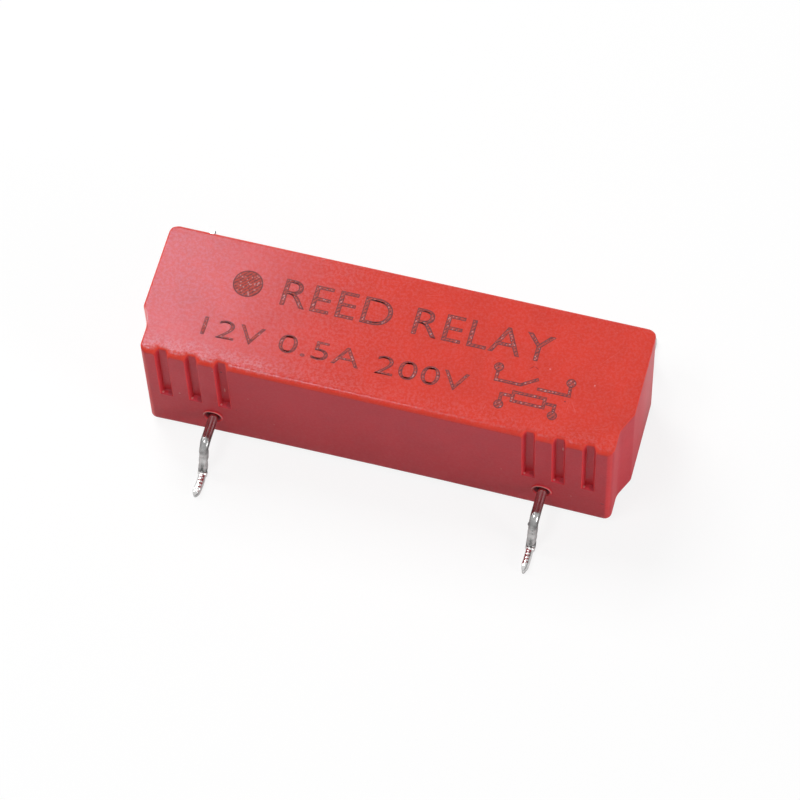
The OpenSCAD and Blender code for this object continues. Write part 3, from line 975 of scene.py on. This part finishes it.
class RELAY_OT_potting(bpy.types.Operator):
    """Finish the potting that fills the case"""

    bl_idname = "relay.potting"
    bl_label = "Potting"

    def execute(self, context):
        settings = context.scene.relay_coil
        epoxy = potting_epoxy(settings.epoxy)
        refinish("potting", epoxy, "potting")
        level = mm(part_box("potting")[0].z)
        dress(mesh_piece("potting_skin", *potting_skin(level)), epoxy)
        for i, (place, outward) in enumerate(hole_places()):
            plug = [(WIRE_R - 0.04, -SEAL_DEEP), (WIRE_R - 0.04, -SEAL_IN),
                    (HOLE_R + 0.02, -SEAL_IN), (HOLE_R + 0.02, -SEAL_DEEP)]
            dress(lathe(f"lead_seal_{i + 1}", plug, place, outward, 40), epoxy)
        return {"FINISHED"}


# Formed wire of the terminals, in millimetres
LEG_LEAN = math.radians(18)
FOOT_Z = 0.24
UPPER_CORNER = HALF_W + 2.0
LOWER_CORNER = UPPER_CORNER + (LEAD_Z - FOOT_Z) * math.tan(LEG_LEAN)
UPPER_BEND_R = 0.6
LOWER_BEND_R = 0.45
INNER_BEND_R = 0.8
FOOT_START = LOWER_CORNER + LOWER_BEND_R * math.tan((math.pi / 2 - LEG_LEAN) / 2)
FOOT_W = 0.42
NIB_W = 0.12
FOOT_MARKS = 7
WIRE_STEP = 0.027
WIRE_SIDES = 48


class Forming(NamedTuple):
    """How a terminal came out of the forming tool, in millimetres"""

    toe: float = 0          # how far the tip stands aside
    bow: float = 0          # how far the middle of the foot stands aside
    short: float = 0        # how much the tip is short
    nib: float = 0.4        # length of the nib
    blunt: float = 2        # bluntness of the nib
    keen: float = 1         # 1 for a pointed nib and 0 for a square end
    burr: float = 0         # height of the burr on the leg
    # The dark streak on the foot is a painted dark reflection
    streak: float = -0.42   # where the dark streak lies on the foot, from -1 to 1


FORMING = {
    "coil_terminal_left": Forming(0.05, -0.06, 0.08, 0.36, 3.0, streak=-0.85),
    "coil_terminal_right": Forming(0.05, -0.02, 0.12, 0.42, 1.5, burr=0.07),
    "switch_terminal_left": Forming(-0.39, short=0.17, keen=0, streak=0.7),
    "switch_terminal_right": Forming(0.06, 0.02, 0.04),
}
# How dark the tin is along a terminal, from tarnishing and painted dark reflection: -1 at the wall,
# 0 at the upper bend, 1 at the lower bend and 2 at the tip
TARNISH_AND_REFLECTION = {
    -1: 0.2, -0.5: 0.3, -0.2: 0.6, -0.1: 0.68, 0.12: 0.72,
    0.2: 0.66, 0.3: 0.36, 0.4: 0.48, 0.52: 0.28, 0.66: 0.4, 0.8: 0.34, 0.95: 0.75, 1.03: 0.8,
    1.07: 0.05, 1.16: 0.05, 1.3: 0.3, 1.8: 0.2, 2: 0.4,
}
POST_END = mm(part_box("coil_terminal_left")[1].y)
UPRIGHT_Y = 0.64
UPRIGHT_TOP = 5.2


def bent_path(corners, radii, step):
    """Points and directions along a bent wire in the Y and Z plane, close together."""
    corners = [Vector(c) for c in corners]
    places, ways = [], []

    def straight(a, b):
        count = max(2, round((b - a).length / step))
        for i in range(count):
            places.append(a.lerp(b, i / count))
            ways.append((b - a).normalized())

    at = corners[0]
    for i in range(1, len(corners) - 1):
        a, b, c = corners[i - 1:i + 2]
        before, after = (b - a).normalized(), (c - b).normalized()
        turn = math.atan2(before.x * after.y - before.y * after.x, before.dot(after))
        reach = radii[i] * math.tan(abs(turn) / 2)
        start = b - before * reach
        straight(at, start)
        side = Vector((-before.y, before.x)) * math.copysign(1, turn)
        centre = start + side * radii[i]
        count = max(8, round(abs(turn) * radii[i] / step))
        for k in range(count):
            spin = Matrix.Rotation(turn * k / count, 2)
            places.append(centre + spin @ (start - centre))
            ways.append(spin @ before)
        at = b + after * reach
    straight(at, corners[-1])
    places.append(corners[-1])
    ways.append(ways[-1])
    return np.array(places, float), np.array(ways, float)


def foot_limits(y, tip, forming):
    """How far the foot reaches sideways and up from the wire's middle."""
    pinch = smooth(y, FOOT_START - WIRE_R / 2, FOOT_START)
    nib = np.clip((y - (tip - forming.nib)) / forming.nib, 0, 1) ** forming.blunt * forming.keen
    side = WIRE_R + 0.1 + (FOOT_W / 2 - WIRE_R - 0.1) * pinch
    side = side + (NIB_W / 2 - FOOT_W / 2) * nib
    top = WIRE_R + 0.1 - (WIRE_R + 0.1) * nib
    return side, np.where(nib > 0, np.minimum(top, WIRE_R * (1 - nib)), top)


def worked_reach(way, angles, sideways, upwards, y, z, dent, seed):
    """The wire's radius round the leg and the foot, with what the forming tools left on it.
    way is 0 at the top of the leg, 1 at its foot and 2 at the tip."""
    around = np.column_stack([sideways * 0.6, np.full(len(angles), y * 1.6),
                              upwards * 0.6 + z * 1.6])
    lumps = waver(around, 1.7, seed)
    on_leg = smooth(way, -0.1, 0.12) * smooth(way, 1.05, 0.95)
    reach = WIRE_R - dent * on_leg * np.clip(0.4 + lumps * 1.6, 0, 2)
    flank = WIRE_R + 0.02 - bell(way, 0.16, 0.16) * 0.045 - bell(way, 0.8, 0.1) * 0.015
    reach = soft_min(reach, flank / np.maximum(np.abs(sideways), 1e-6), 0.02)
    face = WIRE_R - on_leg * dent * (0.9 + 0.9 * bell(way, 0.45, 0.12) - 0.7 * bell(way, 0.3, 0.08))
    reach = soft_min(reach, np.where(upwards > 0, face / np.maximum(upwards, 1e-6), 9), 0.02)
    front = np.clip(upwards * 1.6, 0, 1)
    crease = bell(way, 1.02, 0.035) * (1 - 0.6 * np.abs(sideways))
    lip = bell(way, 1.1, 0.04)
    reach = reach + front * (0.022 * lip - 0.05 * crease)
    on_foot = smooth(way, 1.1, 1.2) * smooth(way, 1.98, 1.8)
    slant = np.sin(way * FOOT_MARKS * 2 * math.pi + angles * 2)
    chatter = waver(np.column_stack([sideways * 2, np.full(len(angles), y * 5), upwards]), 1.5,
                    seed + 9)
    reach = reach - 0.009 * on_foot * np.clip(slant * 0.6 + chatter * 1.6, 0, 1) * np.clip(
        1.2 * upwards + 0.6 * sideways, 0, 1)
    tip_facets = smooth(way, 1.72, 1.85)
    facet = (angles / (math.pi / 3) + 0.3 * seed) % 1 - 0.5
    return reach * (1 - tip_facets * (1 - np.cos(math.pi / 6) / np.cos(facet * math.pi / 3)))


def tarnish_and_reflection_at(way, sideways, upwards, streak):
    """How dark the tin is round the wire, from tarnishing and painted dark reflection: more at its
    sides, and in two streaks on the foot.
    """
    along = np.interp(way, list(TARNISH_AND_REFLECTION), list(TARNISH_AND_REFLECTION.values()))
    sides = 0.3 * np.abs(sideways) ** 4 * (way < 1)
    sides = sides + 0.45 * bell(sideways, 0.05, 0.35) * bell(way, 0.78, 0.2)
    on_foot = smooth(way, 1.15, 1.3) * (upwards > 0)
    streaks = bell(sideways, 0.95, 0.25) * 0.35 + bell(sideways, streak, 0.15) * 0.75
    return np.clip(along + sides + on_foot * (streaks - 0.15), 0, 1)


def terminal_mesh(start, radii, tip, dent, seed, forming):
    """A formed terminal that leaves towards +Y, with the marks of bending and cutting, and
    how dark its tin is at each point."""
    tip -= forming.short
    corners = start + [(UPPER_CORNER, LEAD_Z), (LOWER_CORNER, FOOT_Z), (tip, FOOT_Z)]
    bends = radii + [UPPER_BEND_R, LOWER_BEND_R, 0]
    places, ways = bent_path(corners, bends, WIRE_STEP)
    angles = np.arange(WIRE_SIDES) * 2 * math.pi / WIRE_SIDES
    sideways, upwards = np.cos(angles), np.sin(angles)
    leg_top = LEAD_Z - 0.12
    rings, tarnish_and_reflection = [], []
    for (y, z), (dy, dz) in zip(places, ways):
        reach = np.full(WIRE_SIDES, WIRE_R)
        way = min((y - UPPER_CORNER + 0.08) / 2, 0)
        if z < leg_top:
            way = min((leg_top - z) / (leg_top - FOOT_Z - 0.1), 1)
        if way >= 1 or y > FOOT_START - 0.3:
            way = 1 + max(y - FOOT_START + 0.3, 0) / (tip - FOOT_START + 0.3)
        if y > HALF_W:
            reach = worked_reach(way, angles, sideways, upwards, y, z, dent, seed)
            reach = reach + forming.burr * bell(way, 0.14, 0.03) * bell(sideways, 1, 0.1)
        if y > UPPER_CORNER:
            side, top = foot_limits(y, tip, forming)
            flat = np.minimum(side / np.maximum(np.abs(sideways), 1e-6), 9)
            roof = np.where(upwards > 0, top / np.maximum(upwards, 1e-6), 9)
            reach = soft_min(reach, flat, 0.02)
            reach = soft_min(reach, roof, 0.02)
        reach = np.maximum(reach, 0.02)
        out = max((y - HALF_W) / (tip - HALF_W), 0)
        along = np.clip((y - LOWER_CORNER) / (tip - LOWER_CORNER), 0, 1)
        across = reach * sideways + forming.toe * out ** 2
        across = across + forming.bow * math.sin(math.pi * along)
        up = reach * upwards
        ring = np.column_stack([across, y - up * dz, z + up * dy])
        ring[:, 2] = np.maximum(ring[:, 2], 0)
        rings.append(ring)
        tarnish_and_reflection.append(tarnish_and_reflection_at(way, sideways, upwards, forming.streak))
    vertices, faces = bridge(rings)
    return vertices, [face[::-1] for face in faces], np.concatenate(tarnish_and_reflection)


class RELAY_OT_terminals(bpy.types.Operator):
    """Build the four formed wire terminals"""

    bl_idname = "relay.terminals"
    bl_label = "Terminals"

    def execute(self, context):
        settings = context.scene.relay_wire
        metal = tinned_wire(settings.tin)
        kinds = {
            "coil": (COIL_X, -1, [(-POST_END, LEAD_Z)], [0]),
            "switch": (SWITCH_X, 1, [(UPRIGHT_Y, UPRIGHT_TOP), (UPRIGHT_Y, LEAD_Z)],
                       [0, INNER_BEND_R]),
        }
        for i, (kind, (x, out, start, radii)) in enumerate(kinds.items()):
            for j, side in enumerate(("left", "right")):
                node = f"{kind}_terminal_{side}"
                low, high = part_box(node)
                tip = mm(high.y) if out > 0 else -mm(low.y)
                vertices, faces, tarnish_and_reflection = terminal_mesh(
                    start, radii, tip, mm(settings.dent), 1 + i * 2 + j, FORMING[node])
                vertices[:, 1] *= out
                vertices[:, 0] *= out
                vertices[:, 0] += x if side == "right" else -x
                wire = mesh_piece(f"{node}_wire", vertices, faces)
                mark = wire.data.attributes.new("tarnish_and_reflection", "FLOAT", "POINT")
                mark.data.foreach_set("value", tarnish_and_reflection)
                dress(wire, metal, node)
        return {"FINISHED"}


# Marks on the top, in millimetres from its middle. A row has its ends, its foot and its head,
# and how far the outlines of its letters are moved out.
UPPER_ROW = ((-7.13, 9.28, 0.56, 2.37), -0.002)
LOWER_ROW = ((-11.1, 4.99, -2.52, -1.28), -0.005)
DOT_PLACE = (-9.3, 1.45)
DOT_R = 0.9
LINE_W = 0.2
PIN_R = 0.29
CIRCUIT_LINES = [
    [(6.5, -0.62), (6.5, -1.2), (8.0, -1.2), (8.94, -0.59)],
    [(8.99, -1.23), (10.9, -1.23), (10.86, -0.66)],
    [(7.05, -2.47), (7.05, -2.04), (7.62, -2.04)],
    [(9.73, -2.06), (10.25, -2.06), (10.25, -2.46)],
]
CIRCUIT_PINS = [(6.49, -0.34), (10.84, -0.38), (7.05, -2.75), (10.25, -2.74)]
CIRCUIT_COIL = (7.74, 9.61, -2.35, -1.75)
# Share of the border that the lower row and the circuit have
FINE_BORDER = 0.8


def stroke_outline(points):
    """Outline of a drawn line, mitred where it bends."""
    points = [Vector(p) for p in points]
    left, right = [], []
    for i, p in enumerate(points):
        before = (p - points[i - 1]).normalized() if i else (points[1] - p).normalized()
        after = (points[i + 1] - p).normalized() if i < len(points) - 1 else before
        way = (before + after).normalized()
        side = Vector((-way.y, way.x)) * LINE_W / 2 / max(way.dot(before), 0.4)
        left.append(p + side)
        right.append(p - side)
    return left + right[::-1]


def loop_outline(outer, inner):
    """Faces between two loops with as many points each."""
    count = len(outer)
    return [[outer[i], outer[(i + 1) % count], inner[(i + 1) % count], inner[i]]
            for i in range(count)]


def circle(centre, radius, steps=28):
    """Points round a circle."""
    return [Vector(centre) + Vector((math.cos(a), math.sin(a))) * radius
            for a in (2 * math.pi * i / steps for i in range(steps))]


def rectangle(x0, x1, y0, y1, grow):
    """Corners of a rectangle whose sides are all moved outward."""
    return [Vector(p) for p in ((x0 - grow, y0 - grow), (x1 + grow, y0 - grow),
                                (x1 + grow, y1 + grow), (x0 - grow, y1 + grow))]


def fix_order(elements, place):
    """Sorts a drawing's points, edges or faces by place, because bmesh leaves them in another
    order on each run."""
    for i, element in enumerate(sorted(elements, key=place)):
        element.index = i
    elements.sort()


def flat_piece(name, faces, thickness, border):
    """A thin solid whose faces are drawn in the plane of the top. Its points say how far
    inside the border they are."""
    drawing = bmesh.new()
    for face in faces:
        drawing.faces.new([drawing.verts.new((p[0], p[1], TOP_Z)) for p in face])
    bmesh.ops.remove_doubles(drawing, verts=drawing.verts, dist=1e-4)
    bmesh.ops.recalc_face_normals(drawing, faces=drawing.faces)
    if sum(f.normal.z for f in drawing.faces) < 0:
        bmesh.ops.reverse_faces(drawing, faces=drawing.faces)
    bmesh.ops.inset_region(drawing, faces=drawing.faces[:], thickness=border,
                           use_boundary=True, use_even_offset=False)
    inside = drawing.verts.layers.float.new("inside")
    for vertex in drawing.verts:
        vertex[inside] = 0 if vertex.is_boundary else 1
    made = bmesh.ops.extrude_face_region(drawing, geom=drawing.faces[:])
    low = [v for v in made["geom"] if isinstance(v, bmesh.types.BMVert)]
    bmesh.ops.translate(drawing, verts=low, vec=(0, 0, -thickness))
    bmesh.ops.recalc_face_normals(drawing, faces=drawing.faces)
    fix_order(drawing.verts, lambda vertex: tuple(vertex.co))
    fix_order(drawing.edges, lambda edge: tuple(edge.verts[0].co + edge.verts[1].co))
    fix_order(drawing.faces, lambda face: tuple(face.calc_center_median()))
    mesh = bpy.data.meshes.new(name)
    bmesh.ops.scale(drawing, vec=(MM, MM, MM), verts=drawing.verts)
    drawing.to_mesh(mesh)
    drawing.free()
    piece = bpy.data.objects.new(name, mesh)
    bpy.context.scene.collection.objects.link(piece)
    return piece


def text_faces(body, row, weight):
    """Faces of a row of lettering, stretched to fill its place on the top."""
    x0, x1, y0, y1 = row
    curve = bpy.data.curves.new("lettering", "FONT")
    curve.body = body
    curve.fill_mode = "FRONT"
    curve.offset = weight
    curve.space_character = 1.06
    writing = bpy.data.objects.new("lettering", curve)
    bpy.context.scene.collection.objects.link(writing)
    bpy.context.view_layer.update()
    flat = writing.evaluated_get(bpy.context.evaluated_depsgraph_get()).to_mesh()
    points = np.array([v.co[:2] for v in flat.vertices])
    low, high = points.min(0), points.max(0)
    points = (points - low) / (high - low) * [x1 - x0, y1 - y0] + [x0, y0]
    faces = [[points[i] for i in face.vertices] for face in flat.polygons]
    bpy.data.objects.remove(writing)
    return faces


class RELAY_OT_marks(bpy.types.Operator):
    """Mark the ratings, the pin dot and the circuit on the top"""

    bl_idname = "relay.marks"
    bl_label = "Marks"

    def execute(self, context):
        settings = context.scene.relay_marks
        border, thickness = mm(settings.border), mm(settings.thickness)
        material = laser_mark(settings.ink, context.scene.relay_plastic.colour)
        circuit = [stroke_outline(line) for line in CIRCUIT_LINES]
        circuit += [circle(pin, PIN_R) for pin in CIRCUIT_PINS]
        circuit += loop_outline(rectangle(*CIRCUIT_COIL, LINE_W / 2),
                                rectangle(*CIRCUIT_COIL, -LINE_W / 2))
        marks = {
            "upper_row_mark": (text_faces(settings.upper_row, *UPPER_ROW), 1),
            "lower_row_mark": (text_faces(settings.lower_row, *LOWER_ROW), FINE_BORDER),
            "circuit_mark": (circuit, FINE_BORDER),
            "pin_dot_mark": ([circle(DOT_PLACE, DOT_R, 64)], 1),
        }
        for name, (faces, share) in marks.items():
            mark = flat_piece(name, faces, thickness, border * share)
            dress(mark, material)
        return {"FINISHED"}


class RELAY_OT_coil(bpy.types.Operator):
    """Finish the bobbin, its winding, tape, wire ends and solder"""

    bl_idname = "relay.coil"
    bl_label = "Coil"

    def execute(self, context):
        settings = context.scene.relay_coil
        copper = coil_copper(settings.copper, settings.wire_size)
        refinish("bobbin_plastic", bobbin_plastic(settings.former), "bobbin")
        refinish("enamelled_copper", copper, "winding", "coil_start_wire", "coil_finish_wire")
        refinish("tape", yellow_tape(settings.tape), "winding_tape")
        refinish("solder", soft_solder(), "coil_solder_left", "coil_solder_right")
        return {"FINISHED"}


class RELAY_OT_switch(bpy.types.Operator):
    """Finish the glass, the reeds and the welds of the switch"""

    bl_idname = "relay.switch"
    bl_label = "Reed switch"

    def execute(self, context):
        settings = context.scene.relay_switch
        refinish("glass", seal_glass(settings.glass), "glass_capsule")
        refinish("reed_alloy", reed_alloy(settings.alloy), "reed_lead_left", "reed_lead_right",
                 "reed_blade_left", "reed_blade_right")
        refinish("weld_metal", weld_spot(), "switch_weld_left", "switch_weld_right")
        return {"FINISHED"}


# Lamps: place, the point they face, size and brightness, in metres
CASE_MIDDLE = (0, 0, 4.7 * MM)
LAMPS = {
    "key": ((0.262, -0.088, 0.091), CASE_MIDDLE, 0.11, 7.9),
    "back_left": ((-0.175, 0.165, 0.31), (-0.175, 0.165, 0), 0.2, 9.2),
    "left": ((-0.24, 0.03, 0.14), CASE_MIDDLE, 0.05, 6.5),
    "over": ((-0.075, -0.09, 0.28), CASE_MIDDLE, 0.08, 11.5),
}
# Share of its own light in the floor that the camera sees and in the floor that gloss shows,
# so that it is white under a soft shadow
FLOOR_GLOW = 0.85
MIRRORED_GLOW = 0.4
# Half of the floor's side and the focal length of the lens, in millimetres
FLOOR_HALF = 600.0
LENS = 168.37


def soft_lamp(name, place, faces, size, brightness):
    """A square lamp that faces a point. Brightness 1 is that of white paper in plain light."""
    place, faces = Vector(place), Vector(faces)
    lamp = bpy.data.lights.new(name, "AREA")
    lamp.shape = "SQUARE"
    lamp.size = size
    lamp.energy = brightness * math.pi * size ** 2
    stand = bpy.data.objects.new(name, lamp)
    stand.location = place
    stand.rotation_mode = "QUATERNION"
    stand.rotation_quaternion = (faces - place).to_track_quat("-Z", "Y")
    bpy.context.scene.collection.objects.link(stand)


def background_share(root):
    """1 for rays that show the white background itself: from the camera, off gloss and
    through glass."""
    straight = root.node("LightPath", output="Is Camera Ray")
    gloss = root.node("LightPath", output="Is Glossy Ray")
    return straight.larger(gloss).larger(root.node("LightPath", output="Is Transmission Ray"))


class RELAY_OT_stage(bpy.types.Operator):
    """Set up the floor, the light and the camera"""

    bl_idname = "relay.stage"
    bl_label = "Stage"

    def execute(self, context):
        settings = context.scene.relay_stage
        self.add_floor(settings)
        self.add_light(settings)
        self.add_camera(settings)
        context.scene.view_settings.view_transform = "Standard"
        return {"FINISHED"}

    def add_floor(self, settings):
        corners = [(x * FLOOR_HALF, y * FLOOR_HALF, 0)
                   for x, y in ((-1, -1), (1, -1), (1, 1), (-1, 1))]
        floor = mesh_piece("floor", corners, [(0, 1, 2, 3)])
        material = bpy.data.materials.new("white_floor")
        material.use_nodes = True
        material.node_tree.nodes.clear()
        root = Socket(material.node_tree)
        seen = background_share(root)
        paper = root.node("BsdfDiffuse", None, {
            "Color": seen.mix(settings.floor, (1, 1, 1))})
        glow = root.node("Emission", None, {"Color": (1, 1, 1, 1), "Strength": 1.0})
        straight = root.node("LightPath", output="Is Camera Ray")
        share = seen * MIRRORED_GLOW + straight * (FLOOR_GLOW - MIRRORED_GLOW)
        surface = root.node("MixShader", None, {0: share, 1: paper, 2: glow})
        under = root.node("NewGeometry", output="Backfacing")
        clear = root.node("BsdfTransparent")
        surface = root.node("MixShader", None, {0: under, 1: surface, 2: clear})
        root.node("OutputMaterial", None, {"Surface": surface})
        floor.data.materials.append(material)

    def add_light(self, settings):
        world = bpy.data.worlds.new("studio")
        bpy.context.scene.world = world
        world.use_nodes = True
        world.node_tree.nodes.clear()
        root = Socket(world.node_tree)
        seen = background_share(root)
        sky = seen * (1 - settings.sky) + settings.sky
        light = root.node("Background", None, {"Color": (1, 1, 1, 1), "Strength": sky})
        root.node("OutputWorld", None, {"Surface": light})
        for name, lamp in LAMPS.items():
            soft_lamp(name, *lamp)

    def add_camera(self, settings):
        lens = bpy.data.cameras.new("camera")
        lens.lens = LENS
        lens.clip_start = 0.01
        lens.clip_end = 10
        camera = bpy.data.objects.new("camera", lens)
        bpy.context.scene.collection.objects.link(camera)
        bpy.context.scene.camera = camera
        flat = math.cos(settings.elevation)
        ahead = Vector((-math.sin(settings.azimuth) * flat,
                        math.cos(settings.azimuth) * flat, -math.sin(settings.elevation)))
        level = Vector((math.cos(settings.azimuth), math.sin(settings.azimuth), 0))
        rise = level.cross(ahead)
        right = level * math.cos(settings.roll) + rise * math.sin(settings.roll)
        up = rise * math.cos(settings.roll) - level * math.sin(settings.roll)
        turn = Matrix((right, up, -ahead)).transposed()
        place = Vector(settings.aim) - ahead * settings.distance
        camera.matrix_world = Matrix.Translation(place) @ turn.to_4x4()


class RELAY_PT_looks(bpy.types.Panel):
    """Lists what dresses the relay"""

    bl_label = "Reed relay"
    bl_idname = "RELAY_PT_looks"
    bl_space_type = "VIEW_3D"
    bl_region_type = "UI"
    bl_category = "Relay"

    def draw(self, context):
        for operator in OPERATORS:
            self.layout.operator(operator.bl_idname)
        for name, group in SETTINGS.items():
            box = self.layout.box()
            box.label(text=group.__doc__)
            for prop in group.__annotations__:
                box.prop(getattr(context.scene, name), prop)


SETTINGS = {
    "relay_plastic": PlasticSettings,
    "relay_marks": MarkSettings,
    "relay_wire": WireSettings,
    "relay_coil": CoilSettings,
    "relay_switch": SwitchSettings,
    "relay_stage": StageSettings,
}
OPERATORS = (RELAY_OT_case, RELAY_OT_potting, RELAY_OT_terminals, RELAY_OT_marks,
             RELAY_OT_coil, RELAY_OT_switch, RELAY_OT_stage)


def register():
    for group in SETTINGS.values():
        bpy.utils.register_class(group)
    for name, group in SETTINGS.items():
        setattr(bpy.types.Scene, name, PointerProperty(type=group))
    for operator in OPERATORS:
        bpy.utils.register_class(operator)
    bpy.utils.register_class(RELAY_PT_looks)


def unregister():
    bpy.utils.unregister_class(RELAY_PT_looks)
    for operator in reversed(OPERATORS):
        bpy.utils.unregister_class(operator)
    for name in SETTINGS:
        delattr(bpy.types.Scene, name)
    for group in SETTINGS.values():
        bpy.utils.unregister_class(group)


def main():
    register()
    bpy.ops.relay.case()
    bpy.ops.relay.potting()
    bpy.ops.relay.terminals()
    bpy.ops.relay.marks()
    bpy.ops.relay.coil()
    bpy.ops.relay.switch()
    bpy.ops.relay.stage()


if __name__ == "__main__":
    main()
